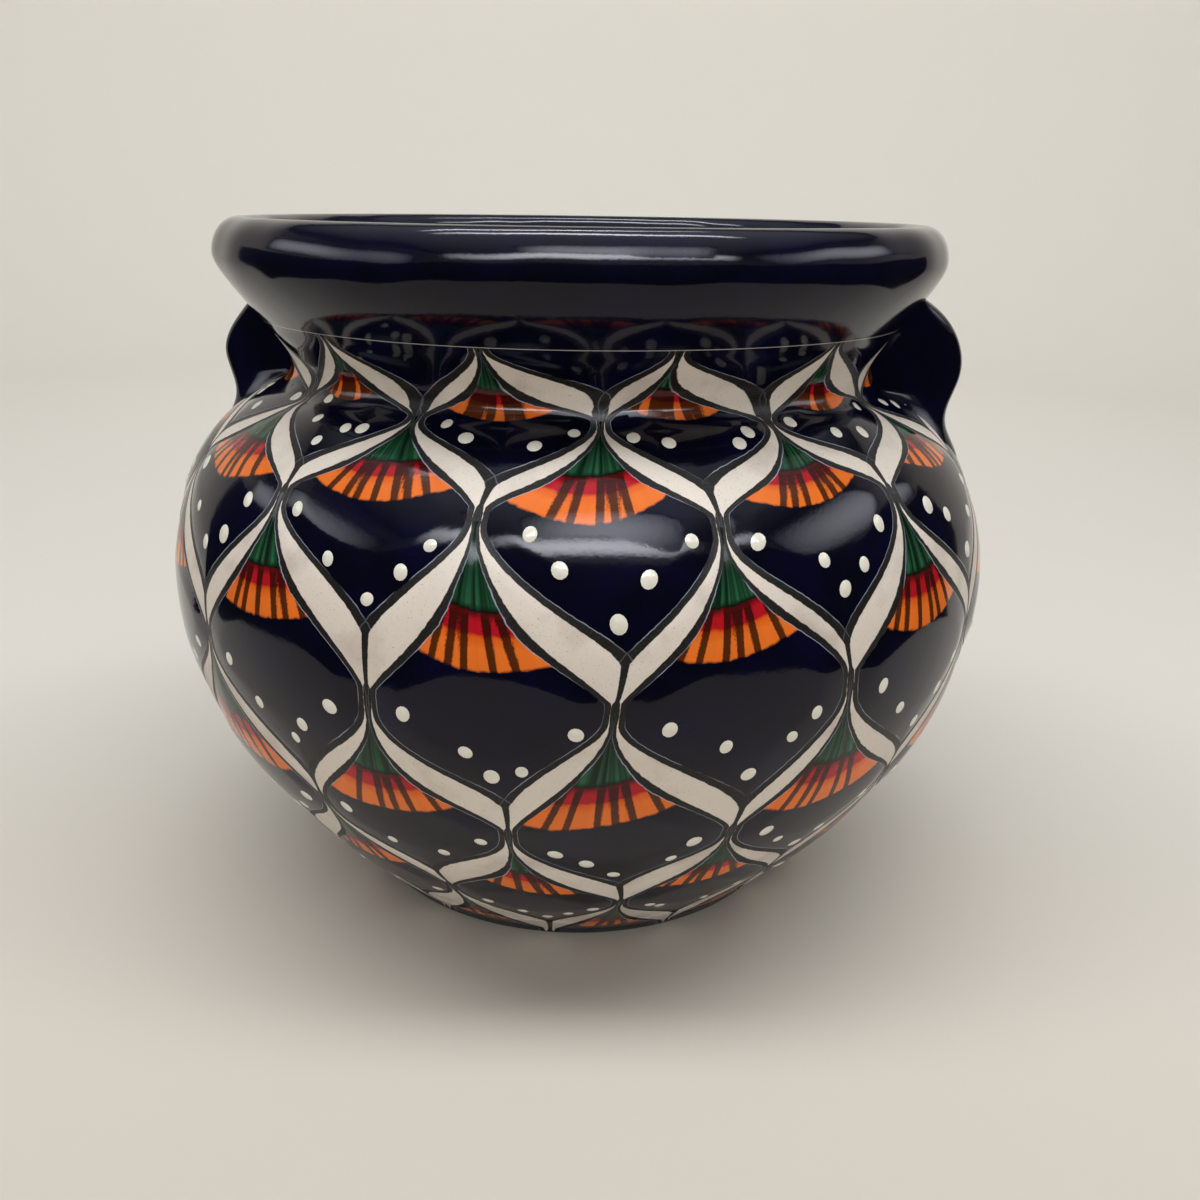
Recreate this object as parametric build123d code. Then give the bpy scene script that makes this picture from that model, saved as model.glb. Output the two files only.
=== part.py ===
from build123d import *
import os

os.makedirs("parts", exist_ok=True)

# A squat glazed earthenware olla: round belly, pinched neck, flared collar,
# rolled rim and two solid ears. Millimetres, +Z up, origin in the middle of
# the face it stands on, ears on the X axis.

# Outside of the pot
foot_diameter = 164.0
foot_slope = 45.0  # degrees up from the table where the wall leaves the foot
foot_round = 3.0
belly_diameter = 305.0
belly_height = 124.0  # height of the widest circle
shoulder_height = 75.5  # from there up to the neck, the narrowest circle
neck_diameter = 215.0
neck_slope = 22.0  # degrees down from level where the shoulder leaves the neck
neck_round = 9.0  # radius of the crease at the neck
collar_height = 49.5  # from the neck up to the top of the rim
collar_flare = 27.0  # degrees out from upright where the collar leaves the neck
rim_diameter = 261.0

# How long each curve keeps its starting direction
foot_reach = 55.0
belly_drop = 50.0
belly_rise = 48.0
neck_reach = 8.5
collar_reach = 14.0
rim_drop = 7.0

# Clay thicknesses
wall = 9.5
base_thickness = 12.0

# Coil of clay rolled onto the collar's edge and smoothed into its outside
coil_width = 18.0
coil_height = 20.0
coil_top = 11.5  # from the rim's widest circle up to its top

# Drain hole in the middle of the base
drain_diameter = 19.0

# Ears: how far their edge stands out of the wall at heights above or below the neck
ear_thickness = 21.0
ear_edge_round = 9.0
ear_shoulder_share = 0.49  # upper edge of the lobe, as a share of the way to the coil
ear_shoulder_stand = 16.5
ear_lobe_drop = 2.5  # furthest edge of the lobe
ear_lobe_stand = 32.8
ear_waist_drop = 19.5  # pinch between the lobe and its tail
ear_waist_stand = 6.7
ear_tail_drop = 35.0  # where the tail runs out on the shoulder
ear_tail_sink = 6.0  # how far the tail's end lies under the glazed surface
ear_root_depth = 20.0  # how far the ear's stock runs in behind the wall
ear_slip = 0.3  # layer of slip that the ear is luted on with
ear_slices = 12

# Places that follow from the sizes above
neck_height = belly_height + shoulder_height
rim_height = neck_height + collar_height
foot = Vector(foot_diameter / 2, 0)
belly = Vector(belly_diameter / 2, belly_height)
crease_middle = Vector(neck_diameter / 2 + neck_round, neck_height)
rim_outer = Vector(rim_diameter / 2, rim_height - coil_top)
rim_inner = rim_outer - Vector(coil_width, 0)
coil_seat = rim_height - coil_height
collar_band = coil_seat - neck_height
ear_root = neck_diameter / 2 - ear_root_depth
far = belly_diameter  # larger than any section, for tools that cut


def spun(section):
    """Solid made by turning a half section, drawn as radius and height, about Z."""
    return revolve(Plane.XZ * section, axis=Axis.Z)


def band(section, low, high):
    """The part of a half section between two heights."""
    return section & Pos(0, (low + high) / 2) * Rectangle(2 * far, high - low)


def moved_in(handles, inset):
    """Curve beside a Bezier curve: ends moved to its left, handles in proportion."""
    start, end = handles[0], handles[-1]
    start_way = (handles[1] - start).normalized()
    end_way = (end - handles[-2]).normalized()
    new_start = start + start_way.rotate(Axis.Z, 90) * inset
    new_end = end + end_way.rotate(Axis.Z, 90) * inset
    ratio = (new_end - new_start).length / (end - start).length
    after_start = new_start + (handles[1] - start) * ratio
    before_end = new_end + (handles[-2] - end) * ratio
    return Bezier(new_start, after_start, before_end, new_end)


# Where the crease leaves the shoulder and the collar, seen from its middle
shoulder_way = Vector(0, -1).rotate(Axis.Z, -neck_slope)
collar_way = Vector(-1, 0).rotate(Axis.Z, -collar_flare)
crease_start = 270 - neck_slope
crease_turn = neck_slope - collar_flare - 90


def crease_arc(radius):
    """Arc about the middle of the crease, from the shoulder to the collar."""
    return CenterArc(crease_middle, radius, crease_start, crease_turn)


def collar_line(low, high):
    """Line of the collar, from the crease to an upright end on the rim."""
    after_low = low + Vector(0, collar_reach).rotate(Axis.Z, -collar_flare)
    return Bezier(low, after_low, high - Vector(0, rim_drop), high)


# Outside line, from the foot to the rim's widest circle
shoulder_end = crease_middle + shoulder_way * neck_round
foot_turn = foot + Vector(foot_reach, 0).rotate(Axis.Z, foot_slope)
belly_below = belly - Vector(0, belly_drop)
belly_above = belly + Vector(0, belly_rise)
neck_turn = shoulder_end + Vector(neck_reach, 0).rotate(Axis.Z, -neck_slope)
bowl_handles = [foot, foot_turn, belly_below, belly]
shoulder_handles = [belly, belly_above, neck_turn, shoulder_end]
collar_start = crease_middle + collar_way * neck_round

# Inside line, one wall's thickness from it up to the collar, which thickens to the coil
bowl_inside = moved_in(bowl_handles, wall)
shoulder_inside = moved_in(shoulder_handles, wall)
collar_inside = crease_middle + collar_way * (neck_round + wall)
inside_low = bowl_inside @ 0

# Half section of the solid pot with its foot edge eased, then of its wall
stock = make_face(
    [
        Line((0, 0), foot),
        Bezier(*bowl_handles),
        Bezier(*shoulder_handles),
        crease_arc(neck_round),
        collar_line(collar_start, rim_outer),
        Line(rim_outer, (0, rim_outer.Y)),
        Line((0, rim_outer.Y), (0, 0)),
    ]
)
stock = fillet(stock.vertices().sort_by_distance(foot)[0], foot_round)
hollow = make_face(
    [
        Line((0, inside_low.Y), inside_low),
        bowl_inside,
        shoulder_inside,
        crease_arc(neck_round + wall),
        collar_line(collar_inside, rim_inner),
        Line(rim_inner, (0, rim_inner.Y)),
        Line((0, rim_inner.Y), (0, inside_low.Y)),
    ]
)
drain = Rectangle(drain_diameter, 2 * base_thickness)
coil = Pos((rim_outer + rim_inner) / 2) * Ellipse(coil_width / 2, coil_top)
lip = band(coil, rim_outer.Y, rim_height)
pot = stock - band(hollow, base_thickness, rim_height) - drain + lip

# Clay pieces as the potter joins them, with level luted seams
base_disc = spun(band(pot, 0, base_thickness))
lower_bowl = spun(band(pot, base_thickness, belly_height))
upper_shoulder = spun(band(pot, belly_height, neck_height))
collar = spun(band(pot, neck_height, coil_seat))
rolled_rim = spun(band(pot, coil_seat, rim_height))

# Ears: the lobe's edge in the radial plane, level slices along it, lofted


def off_wall(rise, stand):
    """Point above or below the neck that stands out of the pot's outside."""
    height = neck_height + rise
    level = Line((0, height), (far, height))
    return Vector((level & stock).length + stand, height)


ear_edge = Spline(
    off_wall(collar_band, -wall),
    off_wall(ear_shoulder_share * collar_band, ear_shoulder_stand),
    off_wall(-ear_lobe_drop, ear_lobe_stand),
    off_wall(-ear_waist_drop, ear_waist_stand),
    off_wall(-ear_tail_drop, 0),
    off_wall(-ear_tail_drop - ear_tail_sink, -ear_tail_sink),
)


def ear_slice(edge):
    """Level slice of the ear's stock, from behind the wall to a point on its edge."""
    place = Pos((ear_root + edge.X) / 2, 0, edge.Y)
    return place * RectangleRounded(edge.X - ear_root, ear_thickness, ear_edge_round)


steps = [step / ear_slices for step in range(ear_slices + 1)]
ear_stock = loft([ear_slice(ear_edge @ step) for step in steps])
ear_right = Pos(ear_slip, 0, 0) * (ear_stock - spun(stock))
ear_left = Rot(0, 0, 180) * ear_right

pieces = {
    "base_disc": base_disc,
    "lower_bowl": lower_bowl,
    "upper_shoulder": upper_shoulder,
    "collar": collar,
    "rolled_rim": rolled_rim,
    "ear_right": ear_right,
    "ear_left": ear_left,
}
for name, piece in pieces.items():
    export_step(piece, f"parts/{name}.step")
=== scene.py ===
import math
import bpy
import numpy as np
from mathutils import Matrix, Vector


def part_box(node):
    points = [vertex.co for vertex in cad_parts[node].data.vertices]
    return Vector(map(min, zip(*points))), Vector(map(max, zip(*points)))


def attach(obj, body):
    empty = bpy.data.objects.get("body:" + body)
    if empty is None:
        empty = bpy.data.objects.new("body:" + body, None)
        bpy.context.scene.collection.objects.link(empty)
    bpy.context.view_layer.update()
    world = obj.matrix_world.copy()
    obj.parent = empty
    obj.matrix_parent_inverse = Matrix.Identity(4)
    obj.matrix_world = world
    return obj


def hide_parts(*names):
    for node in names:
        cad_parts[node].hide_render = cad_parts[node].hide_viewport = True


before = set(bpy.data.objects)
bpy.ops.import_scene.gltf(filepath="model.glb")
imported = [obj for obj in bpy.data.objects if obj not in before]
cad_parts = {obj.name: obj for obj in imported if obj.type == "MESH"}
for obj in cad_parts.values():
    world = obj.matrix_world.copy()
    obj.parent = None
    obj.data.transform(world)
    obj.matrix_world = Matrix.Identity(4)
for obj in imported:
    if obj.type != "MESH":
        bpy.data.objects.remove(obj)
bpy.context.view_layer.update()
mm = 0.001  # shapes are worked out in millimetres and stored in metres
box = {node: np.array(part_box(node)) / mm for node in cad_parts}
print("frame loaded:", sorted(box))


# sRGB hex to linear light, by the sRGB curve
def linear(hexColour):
    c = np.array([int(hexColour[i:i + 2], 16) for i in (1, 3, 5)]) / 255
    c = np.where(c > 0.04045, ((c + 0.055) / 1.055) ** 2.4, c / 12.92)
    return (*c.tolist(), 1.0)


# one node with its settings and links; a setting is an input's name or number, or a property
def addNode(tree, kind, settings={}, links={}):
    node = tree.nodes.new(kind)
    for key, value in settings.items():
        if isinstance(key, int) or key in node.inputs:
            node.inputs[key].default_value = value
        else:
            setattr(node, key, value)
    for key, source in links.items():
        output = source.outputs[0] if hasattr(source, "outputs") else source
        tree.links.new(output, node.inputs[key])
    return node


# 0 below low, 1 above high, with a smooth step between
def smoothStep(low, high, x):
    u = np.clip((x - low) / (high - low), 0, 1)
    return u * u * (3 - 2 * u)


# mesh from millimetre points and faces, with its point fields and normals
def addMesh(name, points, faces, fields={}, normals=None):
    mesh = bpy.data.meshes.new(name)
    mesh.from_pydata((points * mm).tolist(), [], faces)
    mesh.polygons.foreach_set("use_smooth", np.ones(len(mesh.polygons), bool))
    for key, values in fields.items():
        kind, slot = ("FLOAT_VECTOR", "vector") if values.ndim == 2 else ("FLOAT", "value")
        field = mesh.attributes.new(key, kind, "POINT")
        field.data.foreach_set(slot, values.astype(np.float32).ravel())
    if normals is not None:
        mesh.normals_split_custom_set_from_vertices(normals.tolist())
    mesh.update()
    piece = bpy.data.objects.new(name, mesh)
    bpy.context.scene.collection.objects.link(piece)
    return piece


# quads of a grid of rows and columns; the columns wrap round, the rows where closed
def gridFaces(rows, columns, closed=False):
    lastRow = rows if closed else rows - 1
    i, j = np.meshgrid(np.arange(lastRow), np.arange(columns), indexing="ij")
    up, right = (i + 1) % rows, (j + 1) % columns
    corners = [i * columns + j, i * columns + right, up * columns + right, up * columns + j]
    return np.stack(corners, -1).reshape(-1, 4)


# the pot's half section as radius and height: heights and widths from the frame,
# slopes in degrees and reaches in mm as its curves have
heightOf = lambda node: float(box[node][1, 2])
halfWidth = lambda node: float(box[node][1, 0])
potForm = dict(
    footRadius=82.0, footSlope=45.0, footReach=55.0, footRound=3.0, bellyDrop=50.0, bellyRise=48.0,
    neckRadius=107.5, neckSlope=22.0, neckReach=8.5, neckRound=9.0, collarFlare=27.0, collarReach=14.0,
    rimDrop=7.0, coilTop=11.5, coilWidth=18.0, wall=9.5, drainRadius=9.5, step=0.25,
)
p = potForm


# cubic curve with two handles: each point is the four handles weighted by Bernstein's shares
def bezier(handles, steps=200):
    t = np.linspace(0, 1, steps)[:, None]
    a, b, c, d = np.array(handles, float)
    return (1 - t) ** 3 * a + 3 * (1 - t) ** 2 * t * b + 3 * (1 - t) * t * t * c + t ** 3 * d


# the curve beside a cubic curve: its ends moved square to it, its handles in proportion
def besideHandles(handles, inset):
    a, b, c, d = np.array(handles, float)
    left = lambda v: np.array([-v[1], v[0]]) / np.hypot(*v) * inset
    a2, d2 = a + left(b - a), d + left(d - c)
    share = np.hypot(*(d2 - a2)) / np.hypot(*(d - a))
    return [a2, a2 + (b - a) * share, d2 + (c - d) * share, d2]


# arc about a middle, with its start and turn in degrees
def arc(middle, radii, start, turn, steps=60):
    a = np.radians(start + np.linspace(0, turn, steps))[:, None]
    return middle + np.hstack([np.cos(a), np.sin(a)]) * radii


wayAt = lambda degrees: np.array([math.cos(math.radians(degrees)), math.sin(math.radians(degrees))])
foot = np.array([p["footRadius"], 0])
belly = np.array([halfWidth("lower_bowl"), heightOf("lower_bowl")])
crease = np.array([p["neckRadius"] + p["neckRound"], heightOf("upper_shoulder")])
creaseStart, creaseTurn = 270 - p["neckSlope"], p["neckSlope"] - p["collarFlare"] - 90
shoulderEnd = crease + wayAt(creaseStart) * p["neckRound"]
rimOuter = np.array([halfWidth("rolled_rim"), heightOf("rolled_rim") - p["coilTop"]])
rimInner = rimOuter - [p["coilWidth"], 0]
footTurn, neckTurn = wayAt(p["footSlope"]) * p["footReach"], wayAt(-p["neckSlope"]) * p["neckReach"]
bowlHandles = [foot, foot + footTurn, belly - [0, p["bellyDrop"]], belly]
shoulderHandles = [belly, belly + [0, p["bellyRise"]], shoulderEnd + neckTurn, shoulderEnd]


# wall line from foot to rim, moved in by an inset: bowl, shoulder, crease and collar
def wallLine(inset, rimEnd):
    creaseRadius = p["neckRound"] + inset
    collarStart = crease + wayAt(creaseStart + creaseTurn) * creaseRadius
    collarTurn = collarStart + wayAt(90 - p["collarFlare"]) * p["collarReach"]
    return np.vstack([
        bezier(besideHandles(bowlHandles, inset)),
        bezier(besideHandles(shoulderHandles, inset))[1:],
        arc(crease, creaseRadius, creaseStart, creaseTurn)[1:],
        bezier([collarStart, collarTurn, rimEnd - [0, p["rimDrop"]], rimEnd])[1:],
    ])


# the clay's skin as one line of even steps: up the outside, over the coil and down the inside
lipLine = arc((rimOuter + rimInner) / 2, [p["coilWidth"] / 2, p["coilTop"]], 0, 180)
skin = np.vstack([wallLine(0, rimOuter), lipLine[1:], wallLine(p["wall"], rimInner)[-2::-1]])
along = np.r_[0, np.cumsum(np.hypot(*np.diff(skin, axis=0).T))]
skinLength = np.arange(0, along[-1], p["step"])
skin = np.stack([np.interp(skinLength, along, skin[:, k]) for k in (0, 1)], -1)
skinWay = np.gradient(skin, axis=0)
skinNormal = np.stack([skinWay[:, 1], -skinWay[:, 0]], -1) / np.hypot(*skinWay.T)[:, None]
rimRow = int(np.argmax(skin[:, 0] * (skin[:, 1] > crease[1])))
lipRow = rimRow + int(np.argmax(skin[rimRow:, 1] < rimOuter[1]))
lengthUp = lambda z: np.interp(z, skin[:rimRow, 1], skinLength[:rimRow])
lengthDown = lambda z: np.interp(-np.asarray(z, float), -skin[lipRow:, 1], skinLength[lipRow:])
radiusUp = lambda length: np.interp(length, skinLength, skin[:, 0])
print("skin line", round(skinLength[-1]), "mm long")

# painted scales: a lattice of nodes, a white leaf along each slant side, a feather hung from each node
scalePaint = dict(
    scalesRound=12,
    rowHeights=(215.6, 193.4, 170.2, 118.9, 71.6, 32.5, 0.0),  # heights of the node rows
    rowTurns=(-38.1, -20.1, -5.3, 11.95, 28.9, 45.5, 61.5),  # degrees from the front, each row's first node
    frontPinch=3.2,  # degrees by which the scales crowd towards the front
    leafWidth=8.7, leafWidthSpread=1.7, leafWidthRange=(5.0, 11.5),
    fullRow=45.0,  # height of a row whose leaves and dots have their full width
    leafRise=1.8, leafBlunt=(0.8, 1.1),  # powers of the leaf's upper and lower taper
    leafGap=(0.03, 0.07), leafStem=1.5,  # share of the row left at its ends, mm from the node's upright
    leafStart=0.06, leafEnd=(1.3, 0.95, 0.95, 0.95, 0.95, 0.95),  # where its swing starts and, by row, ends
    leafSkew=(0.88, 1.12), tipThin=0.45,  # how late it swings, how much its ink thins at the nodes
    fanRadii=(25.0, 35.5, 41.0, 45.0, 36.5, 35.0), fanSpread=0.025, fanFlat=0.8, fanLean=4.0,
    fanLop=0.04, lopTurn=30.0,  # how much longer a feather is on one side, at so many degrees
    strokes=(5, 7), strokeTurn=9.6, strokeWander=0.17,  # how many a feather has, degrees between, stray
    rayShift=(40.0, 20.0),  # sets each feather's stray and streaks apart from the others'
    driftWaves=((3, 1.1), (5, 2.3), (7, -1.7), (8, 2.9), (11, -2.4)),  # waves round the pot, radians per row
    driftSpread=0.5, handDrift=1.3, rowDrift=0.02, driftFrom=0.4,  # brush's stray: mm round, share of a row,
    # and rows down to where it is full
    pillow=0.7, pillowEdge=(1.0, 15.0),  # relief of a cell, and where it rises, from the leaf's edge
    inkGroove=0.15, grooveOff=1.2, grooveWidth=2.2, lineFade=10.0, footFade=25.0, seed=20,
)
q = scalePaint
hand = np.random.default_rng(q["seed"])
rows, count = len(q["rowHeights"]), q["scalesRound"]
rowLength, rowTurn, pitch = lengthUp(np.array(q["rowHeights"])), np.array(q["rowTurns"]), 360 / count
leafWidths = hand.normal(q["leafWidth"], q["leafWidthSpread"], (2, rows, count))
leafWidths = np.clip(leafWidths, *q["leafWidthRange"])
leafSkew = hand.uniform(*q["leafSkew"], leafWidths.shape)
leafBlunt = hand.uniform(*q["leafBlunt"], leafWidths.shape)
fanSize = hand.normal(1, q["fanSpread"], (rows, count))
fanLean, fanLop = hand.normal(0, q["fanLean"], fanSize.shape), hand.normal(0, q["fanLop"], fanSize.shape)
fanStrokes = hand.integers(q["strokes"][0], q["strokes"][1] + 1, fanSize.shape)
cellTone = hand.random(fanSize.shape)
driftWaves = [(n, m, *hand.uniform(0, 2 * np.pi, 2), *hand.normal(0, q["driftSpread"], 2))
              for n, m in q["driftWaves"]]


# way down a leaf to its way across, a smooth step from where it leaves one node's upright to where it
# joins the next, and the slope of that; the top row's leaves run into their nodes at a slant
def leafSweep(k, f):
    low, high = q["leafStart"], np.array(q["leafEnd"])[np.minimum(k, rows - 2)]
    u, whole = np.clip((f - low) / (high - low), 0, 1), smoothStep(low, high, 1)
    return smoothStep(low, high, f) / whole, 6 * u * (1 - u) / (high - low) / whole


# the painted pattern at points given by turn (degrees from the front) and length up the skin:
# leaf: distance in mm from the middles of two lines of leaves, signed, and the drop below the top line
# swell: half the leaves' widths in mm, and the distance to the nearest leaf's edge
# fan: the feather's radius as a share of its size, the distance to its strokes, and its ray
def patternAt(turn, length):
    t = np.interp(-length, -rowLength, np.arange(rows))
    drop = rowLength[0] - length
    radius = radiusUp(np.minimum(length, rowLength[0]))
    turn = turn + q["frontPinch"] * np.sin(np.radians(turn))
    # the brush strays by a sum of waves, less so at the top line and the foot
    for n, m, a, b, x, y in driftWaves:
        wave = n * np.radians(turn) + m * t
        slip = np.degrees(q["handDrift"] * x * np.sin(wave + a) / radius)
        turn = turn + slip * smoothStep(0, q["driftFrom"], t)
        stray = q["rowDrift"] * y * np.sin(wave + b) * smoothStep(0, 1, t) * smoothStep(0, 1, rows - 1 - t)
        t = np.clip(t + stray, 0, rows - 1)
    k = np.minimum(t.astype(int), rows - 2)
    f = t - k
    rowGap = rowLength[k] - rowLength[k + 1]
    stem = np.degrees(q["leafStem"] / radius) * (1 - 2 * f)
    tip = 1 + q["tipThin"] * (1 - 4 * f * (1 - f)) ** 2
    middles, halves, places = [], [], []
    # each leaf runs from beside its upper node to beside its lower one, swollen in between; a line of leaves
    # swings right and left from row to row, and a sine of the place between leaves is zero at each leaf's middle
    for line in (0, 1):
        slant = (k + line) % 2
        span = rowTurn[k + 1] - rowTurn[k] - slant * pitch
        j = np.rint((turn - rowTurn[k] - span * leafSweep(k, f)[0]) / pitch).astype(int)
        leaf = (slant, k, j % count)
        across, steep = leafSweep(k, f ** leafSkew[leaf])
        places.append((turn - rowTurn[k] - span * across - (1 - 2 * slant) * stem) / pitch)
        lean = np.radians(span) * radius * steep / rowGap
        swing = 1 - 2 * ((k + line) // 2 % 2)
        middle = swing * np.sin(np.pi * places[line]) * np.radians(pitch) * radius / np.pi
        middles.append(middle / np.sqrt(1 + lean ** 2) * tip)
        # width: a power of the way down times a power of the way left, so the upper end is a long point
        # and the lower end a blunt one
        rise, blunt = q["leafRise"], leafBlunt[leaf]
        widest = rise / (rise + blunt)
        way = np.clip((f - q["leafGap"][0]) / (1 - sum(q["leafGap"])), 0, 1)
        swollen = (way / widest) ** rise * ((1 - way) / (1 - widest)) ** blunt
        halves.append(leafWidths[leaf] / 2 * swollen * np.minimum(1, np.sqrt(rowGap / q["fullRow"])) * tip)
    near = np.minimum(np.abs(middles[0]) - halves[0], np.abs(middles[1]) - halves[1])
    first, second = np.where(k % 2 == 0, *places), np.where(k % 2 == 0, *places[::-1])
    # the cell that holds the point: the upper half under its own node, else the lower half of one above
    right, left = np.ceil(first).astype(int), np.floor(second).astype(int)
    upper = right == left
    topRow = np.where(upper, k, k - 1)
    topNode = np.where(upper, right, np.floor(first).astype(int) + 1)
    x = np.radians(turn - rowTurn[topRow] - pitch * topNode) * radius
    y = rowLength[topRow] - np.interp(t, np.arange(rows), rowLength)
    node = (topRow, topNode % count)
    spread, angle = np.hypot(x, y), np.degrees(np.arctan2(x, y))
    lop = 1 + fanLop[node] * angle / q["lopTurn"]
    # above the top row, row -1, there is no feather: its share is out of reach, whatever the radius
    size = np.array(q["fanRadii"] + (1.0,))[topRow] * fanSize[node] * lop
    fan = np.where(topRow >= 0, np.hypot(q["fanFlat"] * x, y) / size, 3.0)
    # strokes: zero lines of a sine of the ray, its unevenness taken out of their width
    ray = (angle - fanLean[node]) / q["strokeTurn"]
    uneven, many = 2 * ray + q["rayShift"][0] * cellTone[node], fanStrokes[node]
    phase = np.clip(ray + q["strokeWander"] * np.sin(uneven), -many / 2, many / 2) + 0.5 * (many % 2 == 0)
    crowding = np.pi * (1 + 2 * q["strokeWander"] * np.cos(uneven))
    stroke = np.sin(np.pi * phase) * spread * np.radians(q["strokeTurn"]) / crowding
    streak = ray + q["rayShift"][1] * cellTone[node]
    return dict(
        leaf=np.stack([*middles, drop], -1),
        swell=np.stack([*halves, near], -1),
        fan=np.stack([fan, stroke, streak], -1),
    )


# hand-made surface: long waves round and up the pot, a tilted rim, the collar fuller at the front
handMade = dict(
    waves=((2, 0.4), (3, -0.7), (4, 1.1), (6, 1.6), (9, -2.1), (13, 2.6)),  # round the pot, radians per waveRise
    waveRise=45.0, wobble=0.315, fineLess=0.12, footFade=40.0,
    rimWaves=((5, 1.0), (11, 2.2)), rimWobble=0.3,  # round the rim, start in radians
    facetWaves=((19, 1), (29, -2)), rimFacet=0.14, rimRange=(224.0, 240.0),
    rimTilt=0.7, tiltRange=(150.0, 249.0),
    fullness=3.0, fullTurn=50.0, fullHeight=224.0, fullBand=12.0, seed=7,
)
h = handMade
hand = np.random.default_rng(h["seed"])
lumpWaves = [(n, m, hand.uniform(0, 2 * np.pi), hand.normal(0, 1)) for n, m in h["waves"]]


# radial stray: a sum of waves that dies out at the foot, and a bell-shaped swelling of the collar
def lumpAt(turn, height):
    a, z = np.radians(turn), height / h["waveRise"]
    waves = sum(w * np.sin(n * a + m * z + b) / (1 + h["fineLess"] * n) for n, m, b, w in lumpWaves)
    front = np.exp(-((np.remainder(turn + 180, 360) - 180) / h["fullTurn"]) ** 2)
    swell = h["fullness"] * front * np.exp(-((height - h["fullHeight"]) / h["fullBand"]) ** 2)
    edge = h["rimWobble"] * sum(np.sin(n * a + b) for n, b in h["rimWaves"])
    edge = edge + h["rimFacet"] * sum(np.sin(n * a + m * z) for n, m in h["facetWaves"])
    edge = edge * smoothStep(*h["rimRange"], height)
    return h["wobble"] * waves * smoothStep(0, h["footFade"], height) + swell + edge


# point for a radius, a height and a turn from the front, with the rim's slight tilt
def roundPoint(turn, radius, height):
    a = np.radians(turn)
    tilt = h["rimTilt"] * np.sin(a) * smoothStep(*h["tiltRange"], height)
    return np.stack([radius * np.sin(a), -radius * np.cos(a), height + tilt], -1)


# the skin turned round the axis, moved out by the lumps, by a pillow in each cell that grows with
# the distance from the leaves, in along the ink, and by a lift
def skinAt(turn, length, lift=0.0):
    r, z = (np.interp(length, skinLength, skin[:, n]) for n in (0, 1))
    nr, nz = (np.interp(length, skinLength, skinNormal[:, n]) for n in (0, 1))
    paint = patternAt(turn, length)
    near = paint["swell"][..., 2]
    painted = smoothStep(0, q["lineFade"], paint["leaf"][..., 2]) * smoothStep(0, q["footFade"], length)
    groove = q["inkGroove"] * np.exp(-((near - q["grooveOff"]) / q["grooveWidth"]) ** 2)
    out = (q["pillow"] * smoothStep(*q["pillowEdge"], near) - groove) * painted + lift
    return roundPoint(turn, r + lumpAt(turn, z) + out * nr, z + out * nz), paint


# wall pieces: rows up the outside, then down the inside, as one closed loop carried round the axis
wallMesh = dict(turns=720, rowStep=1.5, rimStep=0.9, insideStep=4.0, turnStep=0.3, lengthStep=0.8, lipFade=4.0)
turns = np.arange(wallMesh["turns"]) * 360 / wallMesh["turns"]


# rows between two lengths, no further apart than a step
def rowsBetween(start, end, step):
    return np.linspace(start, end, 2 + int(abs(end - start) / step))


# closed ring from skin lengths; normals from small steps round and up
def addWallRing(name, lengths):
    turnGrid, lengthGrid = np.meshgrid(turns, lengths)
    points, paint = skinAt(turnGrid, lengthGrid)
    da, dl = wallMesh["turnStep"], wallMesh["lengthStep"]
    above, below = np.minimum(lengthGrid + dl, skinLength[-1]), np.maximum(lengthGrid - dl, 0)
    roundStep = skinAt(turnGrid + da, lengthGrid)[0] - skinAt(turnGrid - da, lengthGrid)[0]
    upStep = skinAt(turnGrid, above)[0] - skinAt(turnGrid, below)[0]
    normals = np.cross(roundStep, upStep)
    normals /= np.linalg.norm(normals, axis=-1, keepdims=True)
    fields = {key: values.reshape(-1, 3) for key, values in paint.items()}
    lip = skinLength[lipRow]
    fields["inside"] = smoothStep(lip, lip + wallMesh["lipFade"], lengthGrid).ravel()
    faces = gridFaces(len(lengths), len(turns), True).tolist()
    return addMesh(name, points.reshape(-1, 3), faces, fields, normals.reshape(-1, 3))


# band of the wall between two heights
def addWallBand(name, low, high):
    outside = rowsBetween(lengthUp(low), lengthUp(high), wallMesh["rowStep"])
    inside = rowsBetween(lengthDown(high), lengthDown(low), wallMesh["insideStep"])
    return addWallRing(name, np.r_[outside, inside])


lowerBowl = addWallBand("lowerBowl", heightOf("base_disc"), belly[1])
upperShoulder = addWallBand("upperShoulder", belly[1], crease[1])
collar = addWallBand("flaredCollar", crease[1], heightOf("collar"))
coilSeat = heightOf("collar")
rolledRim = addWallRing("rolledRim", rowsBetween(lengthUp(coilSeat), lengthDown(coilSeat), wallMesh["rimStep"]))
print("wall rings and rolled rim made")

# base disc: eased foot edge, up the outside, over the top, down the drain hole and back along the underside
baseMesh = dict(drainEase=1.5, easeSteps=5, flatRows=14, outRows=7, footTurn=50.0, footSteps=6)
ease, drain, thick = baseMesh["drainEase"], p["drainRadius"], heightOf("base_disc")
flat, easeSteps = baseMesh["flatRows"], baseMesh["easeSteps"]
outHeights = np.linspace(p["footRound"], thick, baseMesh["outRows"])
baseOut = np.stack([radiusUp(lengthUp(outHeights)), outHeights], -1)
footMiddle = baseOut[0] - [p["footRound"], 0]
footEase = arc(footMiddle, p["footRound"], -90, baseMesh["footTurn"], baseMesh["footSteps"])[:-1]
topEdge = np.interp(lengthDown(thick), skinLength, skin[:, 0])
topFace = np.stack([np.linspace(topEdge, drain + ease, flat), np.full(flat, thick)], -1)
boreTop = arc(np.array([drain + ease, thick - ease]), ease, 90, 90, easeSteps)[1:]
boreFoot = arc(np.array([drain + ease, ease]), ease, 180, 90, easeSteps)[:-1]
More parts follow.
